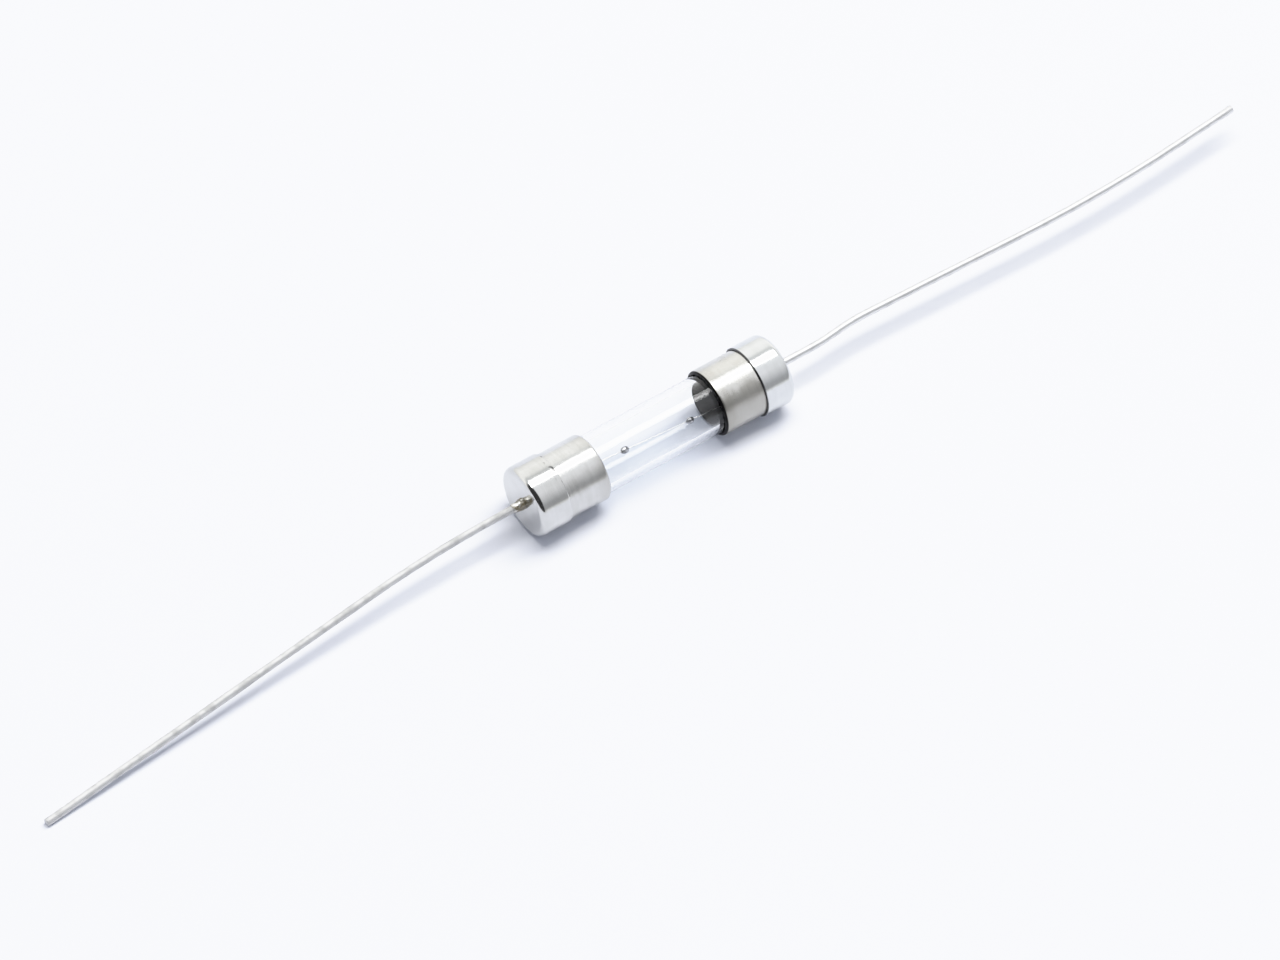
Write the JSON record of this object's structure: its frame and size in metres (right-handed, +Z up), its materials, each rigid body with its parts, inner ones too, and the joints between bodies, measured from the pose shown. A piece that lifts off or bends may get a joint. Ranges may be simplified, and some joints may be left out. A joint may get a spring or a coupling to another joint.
{
  "type": "axial lead glass cartridge fuse",
  "caption": "Glass tube cartridge fuse with plated end caps, a beaded fuse element inside, and a solid wire lead soldered into a lead cap at each end.",
  "frame": {"origin": "the middle of the glass tube, on the fuse's axis, half a lead cap's diameter above the surface that the fuse lies on", "axes": "+X along the fuse's axis towards the right lead, +Y level and across it, +Z up"},
  "size_m": [0.1058, 0.006, 0.0056],
  "materials": {
    "clear_glass": "clear, fire polished",
    "end_cap_plating": "bright nickel plating on brass",
    "lead_cap_plating": "bright nickel plating on brass",
    "tinned_wire": "bright tinning on copper",
    "fluxed_solder": "solder under brown flux",
    "solder": "satin solder",
    "element_wire": "fine drawn wire",
    "bead_solder": "bright solder bead"
  },
  "bodies": {
    "root": {"glass_tube": "clear_glass", "left_end_cap": "end_cap_plating", "right_end_cap": "end_cap_plating", "left_lead_cap": "lead_cap_plating", "right_lead_cap": "lead_cap_plating", "left_lead": "tinned_wire", "right_lead": "tinned_wire", "left_lead_solder": "fluxed_solder", "right_lead_solder": "solder", "left_head_solder": "solder", "right_head_solder": "solder", "left_plug_solder": "solder", "right_plug_solder": "solder", "fuse_element": "element_wire", "left_bead": "bead_solder", "right_bead": "bead_solder"}
  },
  "joints": []
}
